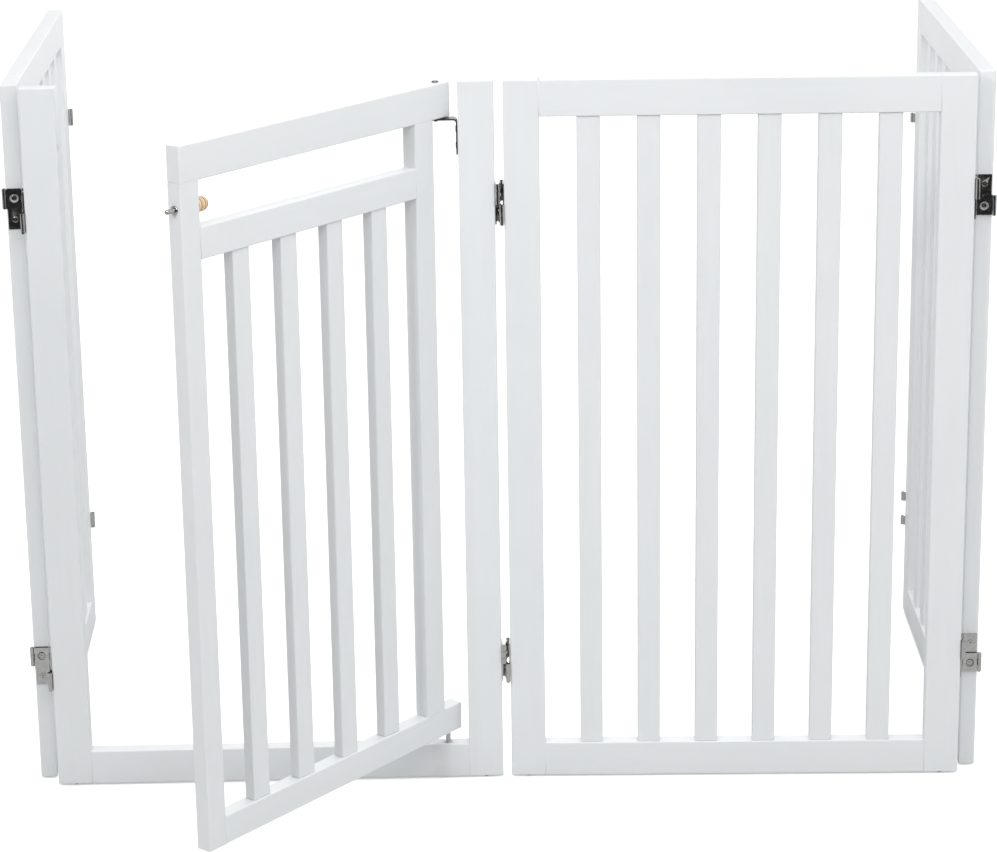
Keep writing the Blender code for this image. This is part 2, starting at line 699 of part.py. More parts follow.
def weld(mesh):
    shape = bmesh.new()
    shape.from_mesh(mesh)
    bmesh.ops.remove_doubles(shape, verts=shape.verts, dist=0.00001)
    shape.to_mesh(mesh)
    shape.free()


# Latch. Its pieces are modelled along their own Z, which points out of the door's free edge.

OUTWARDS = (0.0, -math.pi / 2, 0.0)


def cut_latch_bores(latch_stile, strike_stile, door, frame):
    """The stepped bore through the door's stile and the blind hole for the bolt in the doorway's stile."""
    z = PANEL_BASE + LATCH_HEIGHT
    wide_length = LATCH_STILE_WIDTH - LATCH_SHOULDER
    guide = LATCH_STILE_WIDTH + 2 * OVERSHOOT
    bores = (("latch_bore", LATCH_BORE_RADIUS, wide_length + OVERSHOOT, -DOOR_REACH + wide_length),
             ("latch_guide", LATCH_GUIDE_RADIUS, guide, -DOOR_REACH + LATCH_STILE_WIDTH + OVERSHOOT))
    for name, radius, length, x in bores:
        bore = add_tool(name, cone_mesh(name, radius, radius, length, ROUND_SEGMENTS), rotation=OUTWARDS)
        bore.parent = door
        bore.location = (x, 0.0, z)
        boolean(latch_stile, bore, "DIFFERENCE")
    stile_face = -HINGE_GAP / 2 - PANEL_WIDTH + STILE_WIDTH
    depth = STRIKE_DEPTH + OVERSHOOT
    strike = cone_mesh("strike_hole", STRIKE_RADIUS, STRIKE_RADIUS, depth, ROUND_SEGMENTS)
    tool = add_tool("strike_hole", strike, rotation=OUTWARDS)
    tool.parent = frame
    tool.location = (stile_face + OVERSHOOT, 0.0, z)
    boolean(strike_stile, tool, "DIFFERENCE")


def bolt_profile():
    """The bolt from its rounded tip to the end held in the knob, with the collar the spring pushes."""
    end = -(LATCH_STILE_WIDTH + FIT + KNOB_SOCKET_DEPTH - FIT)
    collar_out = -BOLT_COLLAR_START
    collar_in = collar_out - BOLT_COLLAR_LENGTH
    return (
        (0.0, BOLT_THROW),
        (BOLT_RADIUS - BOLT_TIP_ROUND, BOLT_THROW),
        (BOLT_RADIUS - BOLT_TIP_ROUND * 0.3, BOLT_THROW - BOLT_TIP_ROUND * 0.3),
        (BOLT_RADIUS, BOLT_THROW - BOLT_TIP_ROUND),
        (BOLT_RADIUS, collar_out),
        (BOLT_COLLAR_RADIUS, collar_out),
        (BOLT_COLLAR_RADIUS, collar_in),
        (BOLT_RADIUS, collar_in),
        (BOLT_RADIUS, end),
        (0.0, end),
    )


def ferrule_profile():
    """A flanged sleeve round the bolt, its flange on the door's outer edge."""
    top = FIT + FERRULE_FLANGE_HEIGHT
    return (
        (LATCH_GUIDE_RADIUS, top),
        (FERRULE_FLANGE_RADIUS * 0.92, top),
        (FERRULE_FLANGE_RADIUS, FIT + FERRULE_FLANGE_HEIGHT / 2),
        (FERRULE_FLANGE_RADIUS, FIT),
        (FERRULE_SLEEVE_RADIUS, FIT),
        (FERRULE_SLEEVE_RADIUS, -FERRULE_SLEEVE_LENGTH),
        (LATCH_GUIDE_RADIUS, -FERRULE_SLEEVE_LENGTH),
    )


def knob_profile():
    """The turned knob, from its socket round its outside to its crown; heights run inwards, down."""
    socket = BOLT_RADIUS + FIT
    inside = [(0.0, -KNOB_SOCKET_DEPTH), (socket, -KNOB_SOCKET_DEPTH), (socket, 0.0)]
    outside = [
        (KNOB_NECK_RADIUS, 0.0),
        (KNOB_NECK_RADIUS + KNOB_NECK_FLARE, -KNOB_NECK_LENGTH),
        (KNOB_RADIUS - KNOB_SHOULDER_EASE, -KNOB_SHOULDER),
        (KNOB_RADIUS, -KNOB_BEAD),
        (KNOB_GROOVE_RADIUS, -KNOB_GROOVE),
    ]
    rise = KNOB_LENGTH - KNOB_CROWN_START
    turns = [math.pi / 2 * step / KNOB_CROWN_STEPS for step in range(KNOB_CROWN_STEPS)]
    crown = [(KNOB_RADIUS * math.cos(a), -KNOB_CROWN_START - rise * math.sin(a)) for a in turns]
    return inside + outside + crown + [(0.0, -KNOB_LENGTH)]


def add_spring(door, z):
    """The compression spring between the bolt's collar and the shoulder of the bore."""
    start = -(BOLT_COLLAR_START + BOLT_COLLAR_LENGTH + FIT + SPRING_WIRE_RADIUS)
    end = -(LATCH_STILE_WIDTH - LATCH_SHOULDER - FIT - SPRING_WIRE_RADIUS)
    count = SPRING_TURNS * SPRING_POINTS_PER_TURN
    coil = bpy.data.curves.new("latch_spring", "CURVE")
    coil.dimensions = "3D"
    coil.bevel_depth = SPRING_WIRE_RADIUS
    coil.bevel_resolution = 1
    coil.use_fill_caps = True
    spline = coil.splines.new("POLY")
    spline.points.add(count)
    for i, point in enumerate(spline.points):
        angle = 2 * math.pi * i / SPRING_POINTS_PER_TURN
        height = start + (end - start) * i / count
        point.co = (SPRING_COIL_RADIUS * math.cos(angle), SPRING_COIL_RADIUS * math.sin(angle), height, 1.0)
    mesh = evaluated_mesh(add_tool("latch_spring_coil", coil), "latch_spring")
    weld(mesh)
    add_part("latch_spring", smooth(mesh), SPRING_STEEL, door, (-DOOR_REACH, 0.0, z), OUTWARDS)


def add_latch(door, bolt_frame):
    """The ferrule, bolt, knob and spring of the latch in the door's free stile."""
    z = PANEL_BASE + LATCH_HEIGHT
    outer_edge = (-DOOR_REACH, 0.0, z)
    knob_seat = (-DOOR_REACH + LATCH_STILE_WIDTH + FIT, 0.0, z)
    origin = bolt_frame.location
    ferrule = turned_mesh("latch_ferrule", ferrule_profile())
    add_part("latch_ferrule", ferrule, STEEL, door, outer_edge, OUTWARDS)
    add_part("latch_bolt", turned_mesh("latch_bolt", bolt_profile()), STEEL, bolt_frame,
             Vector(outer_edge) - origin, OUTWARDS)
    add_part("latch_knob", turned_mesh("latch_knob", knob_profile(), 24), NATURAL_WOOD, bolt_frame,
             Vector(knob_seat) - origin, OUTWARDS)
    add_spring(door, z)


# Whole gate

def panel_frame(name, pivot, x, y):
    """A panel's own frame: its lower left corner on the floor, halfway through the board."""
    return add_empty(name, pivot, (x, y, 0.0))


def add_gate(root):
    half_gap = HINGE_GAP / 2
    door_panel = panel_frame("door_panel_frame", root, -half_gap - PANEL_WIDTH, 0.0)

    left_pin = (-half_gap - PANEL_WIDTH - PIN_FROM_EDGE, PIN_Y, 0.0)
    left_pivot = add_empty("left_fold_axis", root, left_pin, -LEFT_FOLD)
    left_wing = panel_frame("left_wing_frame", left_pivot, -PIN_FROM_EDGE - PANEL_WIDTH, -PIN_Y)

    front_link = add_empty("centre_front_link_axis", root, (-PIN_X, -PIN_Y, 0.0), -CENTRE_FOLD / 2)
    back_link = add_empty("centre_back_link_axis", root, (-PIN_X, PIN_Y, 0.0), -CENTRE_FOLD / 2)
    plain_pivot = add_empty("centre_fold_axis", front_link, (2 * PIN_X, 2 * PIN_Y, 0.0), -CENTRE_FOLD / 2)
    plain_panel = panel_frame("plain_panel_frame", plain_pivot, PIN_FROM_EDGE, -PIN_Y)

    right_pin = (PANEL_WIDTH + PIN_FROM_EDGE, PIN_Y, 0.0)
    right_pivot = add_empty("right_fold_axis", plain_panel, right_pin, RIGHT_FOLD)
    right_wing = panel_frame("right_wing_frame", right_pivot, PIN_FROM_EDGE, -PIN_Y)

    strike_stile, _ = add_stiles("door_panel", door_panel)
    inner = (STILE_WIDTH + FIT, PANEL_WIDTH - STILE_WIDTH - FIT)
    sill = add_board("door_panel_sill_rail", door_panel, inner, rail_spans()[0])
    add_plain_panel("plain_panel", plain_panel)
    add_glued_panel("left_wing", left_wing)
    add_glued_panel("right_wing", right_wing)

    add_feet("door_panel", door_panel, ("left", "right"))
    add_feet("plain_panel", plain_panel, ("right",))
    add_feet("left_wing", left_wing, ("left",))
    add_feet("right_wing", right_wing, ("right",))
    add_end_leaves(left_wing, right_wing)
    add_folded_hinges("left", left_wing, "wing_half", door_panel, "panel_half")
    add_folded_hinges("right", plain_panel, "panel_half", right_wing, "wing_half")
    add_centre_hinges(door_panel, front_link, back_link, plain_panel)

    door = add_empty("door_pivot_axis", root, (PIVOT_X, 0.0, 0.0), DOOR_SWING)
    bolt_frame = add_empty("latch_bolt_axis", door, (-DOOR_REACH, 0.0, PANEL_BASE + LATCH_HEIGHT))
    top_rail, bottom_rail, latch_stile = add_door_boards(door)
    add_bracket(root)
    add_pivots(root, door, top_rail, bottom_rail, sill)
    cut_latch_bores(latch_stile, strike_stile, door, root)
    add_latch(door, bolt_frame)


def centre_on_floor(root):
    """Moves the gate so that its bounding box stands centred on the origin."""
    bpy.context.view_layer.update()
    graph = bpy.context.evaluated_depsgraph_get()
    corners = []
    for part in PARTS.objects:
        if part.type == "MESH":
            seen = part.evaluated_get(graph)
            corners += [seen.matrix_world @ vertex.co for vertex in seen.data.vertices]
    middle = [(min(c[k] for c in corners) + max(c[k] for c in corners)) / 2 for k in range(2)]
    root.location = (-middle[0], -middle[1], -min(c[2] for c in corners))


clear_scene()
PARTS = make_collection(GATE)
TOOLS = make_collection("cutters")
WHITE_PAINT = make_material("white_paint", (0.86, 0.86, 0.85), 0.38)
NICKEL = make_material("nickel_plate", (0.72, 0.72, 0.70), 0.22, 1.0)
DARK_STEEL = make_material("dark_steel", (0.10, 0.10, 0.105), 0.35, 1.0)
STEEL = make_material("bright_steel", (0.62, 0.62, 0.62), 0.25, 1.0)
SPRING_STEEL = make_material("spring_steel", (0.45, 0.45, 0.45), 0.3, 1.0)
NATURAL_WOOD = make_material("natural_wood", (0.62, 0.45, 0.26), 0.5)
BLACK_PLASTIC = make_material("black_plastic", (0.03, 0.03, 0.03), 0.45)
ROOT = add_empty("gate_root", None, (0.0, 0.0, 0.0))
add_gate(ROOT)
centre_on_floor(ROOT)
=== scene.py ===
"""The looks of a freestanding four-panel pet gate with a walk-through door.

Every CAD part stays and gets a detailed material. What the CAD leaves out is built here: the hinge
screws, the pivot bracket's screws, three of the floor glides, and the filler in the boards' joints.
"""

import json
import math

import bmesh
import bpy
from mathutils import Matrix, Vector


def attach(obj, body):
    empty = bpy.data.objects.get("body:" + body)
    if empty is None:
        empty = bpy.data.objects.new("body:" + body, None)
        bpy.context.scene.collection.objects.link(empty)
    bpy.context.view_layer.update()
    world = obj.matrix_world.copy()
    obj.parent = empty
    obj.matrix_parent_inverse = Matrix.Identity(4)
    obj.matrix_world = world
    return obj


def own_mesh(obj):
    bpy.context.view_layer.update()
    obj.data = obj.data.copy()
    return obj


# The panels, in metres and degrees, as in the CAD.
PANEL_WIDTH = 0.505
PANEL_HEIGHT = 0.8
PANEL_BASE = 0.0025
STILE_WIDTH = 0.0385
TOP_RAIL_HEIGHT = 0.040
BOTTOM_RAIL_HEIGHT = 0.0395
BOARD = 0.018
EASED_EDGE = 0.0014
FIT = 0.0003
LEFT_FOLD = 88.7
CENTRE_FOLD = 1.75
RIGHT_FOLD = 90.5

# The hinges between the panels, and the bracket over the door's pivot.
HINGE_GAP = 0.010
PIN_X = 0.0023
PIN_Y = 0.0106
EDGE_TO_PIN = 0.0027
HINGE_HEIGHTS = {"upper": 0.665, "lower": 0.137}
LEAF_FACE_X = -0.0035
LEAF_SCREW_HEIGHT = 0.012
BRACKET_FACE_X = -0.0456
BRACKET_TOP = 0.7614
BRACKET_SCREW_DROPS = (0.012, 0.030)

# The door, measured from its pivot and the panels' lower edge, and its latch.
PIVOT_X = -0.067
DOOR_SWING = 50.5
DOOR_REACH = 0.399
DOOR_TOP = 0.7975
DOOR_BOTTOM = 0.054
DOOR_TOP_RAIL = 0.038
DOOR_BOTTOM_RAIL = 0.0315
SECOND_RAIL_TOP = 0.7125
SECOND_RAIL = 0.033
LATCH_STILE = 0.026
HINGE_STILE = 0.030
HINGE_STILE_START = 0.015

# The filler in the joints between boards, just below their faces.
FILLER_CLEARANCE = 0.00005
FILLER_END = 0.0001
FILLER_WELD = 1e-7
FILLER_ARC_STEPS = 6

# Screws and glides. The tables are turned profiles, as (share of the radius, share of the height).
LEAF_SCREW_RADIUS = 0.0030
LEAF_SCREW_SHANK = 0.0017
LEAF_SCREW_DEPTH = 0.0012
LEAF_SCREW_CONE_TOP = 0.00012
LEAF_SCREW_RIM = 0.00006
LEAF_SCREW_DOME = 0.00005
LEAF_SCREW_HEAD = ((0.96, 0.0), (0.86, 0.62), (0.72, 0.9), (0.64, 1.0))
BRACKET_SCREW_RADIUS = 0.0036
BRACKET_SCREW_HEIGHT = 0.0006
BRACKET_SCREW_HEAD = (
    (0.97, 0.0), (1.0, 0.12), (0.99, 0.4), (0.93, 0.68), (0.80, 0.90), (0.66, 1.0)
)
RECESS_REACH = 0.50
RECESS_HALF_WIDTH = 0.15
RECESS_TAPER = 0.55
LEAF_RECESS_DEPTH = 0.0011
BRACKET_RECESS_DEPTH = 0.0004
SCREW_TURN = 37.0
GLIDE_RADIUS = 0.004
GLIDE_HEIGHT = 0.0022
GLIDE_HOLLOW = 0.0003
GLIDE_EASE = 0.0001
GLIDE_RIM = ((0.96, 0.3), (1.0, 0.6), (0.97, 1.0))
ROUND_STEPS = 28

# Shading of the CAD meshes.
WELD_DISTANCE = 1e-5
SHARP_ANGLE = 50.0
LARGE_FACES_WEIGHT = 100

# The paint's colours, and how the grain stretches along an upright or a level board.
PAINT_SLOT = "white_paint"
PAINT_LIGHT = (0.815, 0.836, 0.847)
PAINT_DARK = (0.790, 0.812, 0.824)
ALONG_Z = (70.0, 70.0, 3.0)
ALONG_X = (3.0, 70.0, 70.0)

# Each metal's material name, its colours, its roughness where it is polished and where it is dull,
# and how strong its scratches are.
PLATING = {
    "nickel_plate": dict(
        name="nickel", light=(0.56, 0.56, 0.55), dark=(0.40, 0.40, 0.39),
        polish=0.08, dull=0.20
    ),
    "dark_steel": dict(
        name="dark_steel", light=(0.24, 0.24, 0.245), dark=(0.11, 0.11, 0.115),
        polish=0.24, dull=0.44
    ),
    "worn_steel": dict(
        name="worn_steel", light=(0.62, 0.62, 0.63), dark=(0.46, 0.46, 0.47),
        polish=0.24, dull=0.44
    ),
    "bright_steel": dict(
        name="bright_steel", light=(0.58, 0.58, 0.56), dark=(0.34, 0.34, 0.33),
        polish=0.10, dull=0.26, scratch=0.6
    ),
    "spring_steel": dict(
        name="spring_steel", light=(0.55, 0.55, 0.56), dark=(0.36, 0.36, 0.37),
        polish=0.18, dull=0.36, scratch=0.6
    ),
}

# CAD nodes whose finish isn't the usual one of their slot.
OWN_FINISH = {"door_bottom_pin": "worn_steel"}

# The body that each panel is, and how far the boards of each panel and of the door are turned.
PANEL_BODY = {
    "left_wing": "left_wing",
    "door_panel": "frame",
    "plain_panel": "plain_panel",
    "right_wing": "right_wing",
}
BOARD_TURN = {
    "left_wing": -LEFT_FOLD,
    "door_panel": 0.0,
    "plain_panel": -CENTRE_FOLD,
    "right_wing": RIGHT_FOLD - CENTRE_FOLD,
    "door": DOOR_SWING,
}

# The studio: a pale floor, a dark card in front, and a world whose light grows from dim to bright
# between two heights along WORLD_TOWARDS.
WHITE = (1, 1, 1, 1)
FLOOR_REACH = 60.0
FLOOR_BOUNCE = 0.60
FLOOR_LIFT = 0.40
CARD_Y = -1.9
CARD_HEIGHT = 1.2
CARD_HALF_WIDTH = 3.0
WORLD_TOWARDS = (0.60, 0.10, 0.80)
WORLD_DIM = 0.24
WORLD_BRIGHT = 1.06
WORLD_DIM_BELOW = -0.35
WORLD_BRIGHT_ABOVE = 0.75

# The lights. Each softbox's place and aim are measured from the middle of the gate.
LIGHTS_CENTRE_HEIGHT = 0.45
KEY_DISTANCE = 4.2
KEY_ELEVATION = 28.0
KEY_SIZE = 0.5
KEY_POWER = 40.0
SOFTBOXES = {
    "top": dict(place=(0.1, -1.5, 1.5), aim=(0, 0, 0.3), size=1.2, power=12.0),
    "fill": dict(place=(2.1, -2.4, 1.1), aim=(0, 0, 0), size=1.6, power=4.5),
    "side": dict(place=(1.5, -1.6, 0.45), aim=(0.45, 0, 0), size=0.9, power=4.5),
    "back": dict(place=(0.05, 1.15, 0.55), aim=(0, 0, 0), size=1.1, power=2.4),
    "left": dict(place=(-2.4, 1.2, 0.9), aim=(0, 0, 0), size=1.2, power=9.0),
}

# The camera, in front of the gate and above it. The offset is from the middle of the gate.
CAMERA_OFFSET = Vector((-0.0487, -3.1573, 0))
CAMERA_HEIGHT = 1.3852
CAMERA_YAW = -0.7092
CAMERA_PITCH = 16.2955
CAMERA_ROLL = -0.8756
CAMERA_LENS = 108.25
CAMERA_SENSOR = 36.0
CAMERA_SHIFT = (0.0051, -0.0406)
CAMERA_CLIP_END = 200


# ---------------------------------------------------------------- places


def shift(x=0.0, y=0.0, z=0.0):
    return Matrix.Translation((x, y, z))


def turn(degrees, axis="Z"):
    return Matrix.Rotation(math.radians(degrees), 4, axis)


def gate_root(joints):
    """Where the middle of the gate stands, from the centre hinge's axis."""
    x, y, _ = next(j["pos_m"] for j in joints if j["name"] == "centre_fold_forward")
    return shift(x + PIN_X, y + PIN_Y)


def panel_frames(root):
    """Each panel's own frame: x along the panel from its left edge, z up from the floor."""
    left_edge = -PANEL_WIDTH - HINGE_GAP / 2
    door_panel = root @ shift(left_edge)
    left_pin = shift(left_edge - EDGE_TO_PIN, PIN_Y)
    left_wing = root @ left_pin @ turn(-LEFT_FOLD) @ shift(-PANEL_WIDTH - EDGE_TO_PIN, -PIN_Y)
    half_fold = turn(-CENTRE_FOLD / 2)
    link = shift(2 * PIN_X, 2 * PIN_Y)
    plain_panel = root @ shift(-PIN_X, -PIN_Y) @ half_fold @ link @ half_fold
    plain_panel = plain_panel @ shift(EDGE_TO_PIN, -PIN_Y)
    right_pin = shift(PANEL_WIDTH + EDGE_TO_PIN, PIN_Y)
    right_wing = plain_panel @ right_pin @ turn(RIGHT_FOLD) @ shift(EDGE_TO_PIN, -PIN_Y)
    return {
        "left_wing": left_wing,
        "door_panel": door_panel,
        "plain_panel": plain_panel,
        "right_wing": right_wing,
    }


# ---------------------------------------------------------------- node helpers


class Nodes:
    """The emptied node tree of a material or world, with short calls for the nodes used here."""

    def __init__(self, owner):
        owner.use_nodes = True
        self.tree = owner.node_tree
        self.tree.nodes.clear()

    def put(self, target, value):
        """A socket's value: a link when it is another socket."""
        if isinstance(value, bpy.types.NodeSocket):
            self.tree.links.new(value, target)
        else:
            target.default_value = value

    def add(self, kind, *values, **named):
        """A new node. Its inputs are given in their order, or by name with _ for each space."""
        node = self.tree.nodes.new(kind)
        for target, value in zip(node.inputs, values):
            self.put(target, value)
        for name, value in named.items():
            self.put(node.inputs[name.replace("_", " ")], value)
        return node

    def coordinates(self, degrees=0.0, scale=(1.0, 1.0, 1.0)):
        """The object's own coordinates, turned about z to put x along the board, then scaled."""
        source = self.add("ShaderNodeTexCoord").outputs["Object"]
        back = (0, 0, math.radians(-degrees))
        turned = self.add("ShaderNodeMapping", Vector=source, Rotation=back)
        stretched = self.add("ShaderNodeMapping", Vector=turned.outputs["Vector"], Scale=scale)
        return stretched.outputs["Vector"]

    def noise(self, vector, scale, detail=3.0, roughness=0.5, distortion=0.0):
        node = self.add("ShaderNodeTexNoise", Vector=vector, Scale=scale, Detail=detail)
        self.put(node.inputs["Roughness"], roughness)
        self.put(node.inputs["Distortion"], distortion)
        return node.outputs["Fac"]

    def wave(self, vector, scale, distortion):
        """Bands across x."""
        node = self.add("ShaderNodeTexWave", Vector=vector, Scale=scale, Distortion=distortion)
        node.bands_direction = "X"
        return node.outputs["Fac"]

    def calculate(self, operation, a, b):
        node = self.add("ShaderNodeMath", a, b)
        node.operation = operation
        return node.outputs[0]

    def weigh(self, a, share, b):
        """That share of a, and the rest of b."""
        part = self.calculate("MULTIPLY", a, share)
        rest = self.calculate("MULTIPLY", b, 1 - share)
        return self.calculate("ADD", part, rest)

    def spread(self, value, low, high, start=0.3, end=0.7):
        """value from start to end becomes low to high."""
        node = self.add("ShaderNodeMapRange", Value=value, To_Min=low, To_Max=high)
        self.put(node.inputs["From Min"], start)
        self.put(node.inputs["From Max"], end)
        return node.outputs["Result"]

    def ramp(self, value, *stops):
        """Colour stops as (place, (r, g, b))."""
        node = self.add("ShaderNodeValToRGB", value)
        elements = node.color_ramp.elements
        while len(elements) < len(stops):
            elements.new(0.5)
        for element, (at, colour) in zip(elements, stops):
            element.position = at
            element.color = (*colour, 1)
        return node.outputs["Color"]

    def choose(self, share, a, b):
        """The number a where share is 0, b where it is 1."""
        node = self.add("ShaderNodeMix")
        node.data_type = "FLOAT"
        sockets = [socket for socket in node.inputs if socket.enabled]
        for target, value in zip(sockets, (share, a, b)):
            self.put(target, value)
        return next(socket for socket in node.outputs if socket.enabled)

    def bump(self, height, distance, strength, normal=None):
        node = self.add("ShaderNodeBump", Height=height, Distance=distance, Strength=strength)
        if normal is not None:
            self.put(node.inputs["Normal"], normal)
        return node.outputs["Normal"]

    def by_camera(self, lit, seen):
        """The shader seen for what the camera sees directly, and lit for light and reflections."""
        rays = self.add("ShaderNodeLightPath").outputs["Is Camera Ray"]
        return self.add("ShaderNodeMixShader", rays, lit, seen).outputs[0]


class Finish(Nodes):
    """A new material's nodes, with its shader and output."""

    def __init__(self, name):
        self.material = bpy.data.materials.new(name)
        super().__init__(self.material)
        self.shader = self.add("ShaderNodeBsdfPrincipled")
        self.output = self.add("ShaderNodeOutputMaterial", Surface=self.shader.outputs["BSDF"])

    def shade(self, colour, roughness, normal, **sockets):
        """Sets the shader's sockets, and returns the material."""
        sockets.update(Base_Color=colour, Roughness=roughness, Normal=normal)
        for name, value in sockets.items():
            self.put(self.shader.inputs[name.replace("_", " ")], value)
        return self.material


def grey(value):
    return (value, value, value)


# ---------------------------------------------------------------- materials


def board_grain(nodes, degrees, stretch):
    """Fine fibres along the board, 0 to 1."""
    vector = nodes.coordinates(degrees, stretch)
    fibres = nodes.noise(vector, scale=6.0, detail=5.0, roughness=0.6, distortion=0.4)
    broad = nodes.noise(vector, scale=1.3, detail=2.0, distortion=0.8)
    return nodes.weigh(fibres, 0.6, broad)


def rail_share(nodes):
    """1 on a panel's top and bottom rails, 0 on the slats between them."""
    axes = nodes.add("ShaderNodeSeparateXYZ", nodes.add("ShaderNodeTexCoord").outputs["Object"])
    height = axes.outputs["Z"]
    top_rail = PANEL_BASE + PANEL_HEIGHT - TOP_RAIL_HEIGHT
    top = nodes.calculate("GREATER_THAN", height, top_rail)
    low = nodes.calculate("LESS_THAN", height, PANEL_BASE + BOTTOM_RAIL_HEIGHT)
    return nodes.calculate("MAXIMUM", top, low)


def paint(name, degrees, direction):
    """Satin white lacquer over wood: fibres show through faintly, with a fine sprayed texture."""
    nodes = Finish(name)
    if direction == "both":
        upright = board_grain(nodes, degrees, ALONG_Z)
        level = board_grain(nodes, degrees, ALONG_X)
        grain = nodes.choose(rail_share(nodes), upright, level)
    else:
        grain = board_grain(nodes, degrees, ALONG_Z if direction == "upright" else ALONG_X)
    point = nodes.coordinates()
    cloud = nodes.noise(point, scale=7.0)
    peel = nodes.noise(point, scale=620.0, detail=2.0)
    colour = nodes.ramp(nodes.weigh(grain, 0.55, cloud), (0.34, PAINT_DARK), (0.58, PAINT_LIGHT))
    uneven = nodes.calculate("ADD", grain, cloud)
    roughness = nodes.spread(uneven, low=0.34, high=0.50, start=0.75, end=1.25)
    normal = nodes.bump(grain, distance=0.00016, strength=0.45)
    normal = nodes.bump(peel, distance=0.00004, strength=0.5, normal=normal)
    return nodes.shade(
        colour, roughness, normal, Specular_IOR_Level=0.45, Coat_Weight=0.12, Coat_Roughness=0.3
    )


def plated(name, light, dark, polish, dull, scratch=0.35):
    """Plated or bare steel: smudged polish, fine scratches and slightly uneven tone."""
    nodes = Finish(name)
    point = nodes.coordinates()
    smudge = nodes.noise(point, scale=260.0, detail=4.0, roughness=0.65)
    fine = nodes.noise(point, scale=2600.0)
    brushed = nodes.noise(nodes.coordinates(scale=(6000.0, 6000.0, 300.0)), scale=1.0)
    wear = nodes.weigh(smudge, 0.7, brushed)
    colour = nodes.ramp(wear, (0.32, dark), (0.62, light))
    roughness = nodes.spread(wear, low=polish, high=dull, start=0.35, end=0.68)
    normal = nodes.bump(brushed, distance=0.00001, strength=scratch)
    normal = nodes.bump(fine, distance=0.000012, strength=0.35, normal=normal)
    return nodes.shade(colour, roughness, normal, Metallic=1.0)


def turned_wood(name, degrees):
    """Pale turned beech: rings across the knob's axis, fine dark flecks along it."""
    nodes = Finish(name)
    along = nodes.coordinates(degrees, (900.0, 120.0, 900.0))
    fleck = nodes.noise(along, scale=1.0, detail=4.0, roughness=0.6)
    across = nodes.coordinates(degrees, (1.0, 0.06, 0.2))
    rings = nodes.wave(across, scale=120.0, distortion=0.9)
    tone = nodes.weigh(fleck, 0.4, rings)
    dark, middle, pale = (0.34, 0.19, 0.08), (0.74, 0.53, 0.31), (0.86, 0.68, 0.46)
    colour = nodes.ramp(tone, (0.24, dark), (0.48, middle), (0.8, pale))
    roughness = nodes.spread(tone, low=0.62, high=0.42)
    lathe = nodes.noise(nodes.coordinates(degrees, (40.0, 5200.0, 40.0)), scale=1.0, detail=1.0)
    normal = nodes.bump(lathe, distance=0.00003, strength=0.5)
    normal = nodes.bump(fleck, distance=0.00004, strength=0.4, normal=normal)
    return nodes.shade(colour, roughness, normal, Specular_IOR_Level=0.4)


def moulded_plastic(name):
    """Dark moulded plastic with a spark-eroded texture."""
    nodes = Finish(name)
    point = nodes.coordinates()
    pits = nodes.noise(point, scale=3200.0)
    cloud = nodes.noise(point, scale=300.0, detail=2.0)
    colour = nodes.ramp(cloud, (0.35, grey(0.018)), (0.65, grey(0.034)))
    roughness = nodes.spread(pits, low=0.42, high=0.62)
    return nodes.shade(colour, roughness, nodes.bump(pits, distance=0.00003, strength=0.6))


def make_finishes():
    """The finishes by slot, and the lacquer by the way that the grain runs.

    Uprights share one lacquer. Each panel's rails have their own, and so has each wing's solid of
    rails and slats.
    """
    made = {slot: plated(**look) for slot, look in PLATING.items()}
    made["natural_wood"] = turned_wood("turned_beech", DOOR_SWING)
    made["black_plastic"] = moulded_plastic("glide_plastic")
    made["upright"] = made[PAINT_SLOT] = paint("lacquer_upright", 0.0, "upright")
    for panel, degrees in BOARD_TURN.items():
        made[panel + "_rail"] = paint("lacquer_" + panel + "_rail", degrees, "level")
    for wing in ("left_wing", "right_wing"):
        made[wing + "_both"] = paint("lacquer_" + wing + "_infill", BOARD_TURN[wing], "both")
    return made


def finish_key(name, slot):
    """The finish that a CAD node takes, by its slot, or if painted by what the board is."""
    if slot != PAINT_SLOT:
        return OWN_FINISH.get(name, slot)
    if name.endswith("rails_and_slats"):
        return name.replace("_rails_and_slats", "_both")
    if "rail" not in name:
        return "upright"
    return next((panel for panel in PANEL_BODY if name.startswith(panel)), "door") + "_rail"


def smooth_shading(node):
    """Rounds the shading of eased edges and turned parts, and keeps real corners crisp."""
    mesh = node.data
    for attribute in ("custom_normal", "sharp_edge", "sharp_face"):
        if attribute in mesh.attributes:
            mesh.attributes.remove(mesh.attributes[attribute])
    weld = node.modifiers.new("weld", "WELD")
    weld.merge_threshold = WELD_DISTANCE
    split = node.modifiers.new("corners", "EDGE_SPLIT")
    split.split_angle = math.radians(SHARP_ANGLE)
    split.use_edge_sharp = False
    normals = node.modifiers.new("normals", "WEIGHTED_NORMAL")
    normals.weight = LARGE_FACES_WEIGHT
    normals.keep_sharp = True


def dress_frame(nodes, finishes):
    for name, node in nodes.items():
        slot = node.data.materials[0].name.split(".")[0]
        node.data.materials[0] = finishes[finish_key(name, slot)]
        smooth_shading(node)


# ---------------------------------------------------------------- small hardware


def ring(bm, radius, height):
    corners = [2 * math.pi * i / ROUND_STEPS for i in range(ROUND_STEPS)]
    return [bm.verts.new((radius * math.cos(a), radius * math.sin(a), height)) for a in corners]


def join_rings(bm, lower, upper):
    count = len(lower)
    for i in range(count):
        j = (i + 1) % count
        bm.faces.new((lower[i], lower[j], upper[j], upper[i]))


def turned_body(bm, profile):
    """The foot and side of a turned shape along z, open at the top. Returns its top ring."""
    rings = [ring(bm, radius, height) for radius, height in profile]
    bm.faces.new(rings[0])
    for lower, upper in zip(rings, rings[1:]):
        join_rings(bm, lower, upper)
    return rings[-1]


def sized(shares, radius, height):
    """A turned profile as (radius, height), from its table of shares."""
    return [(radius * r, height * h) for r, h in shares]


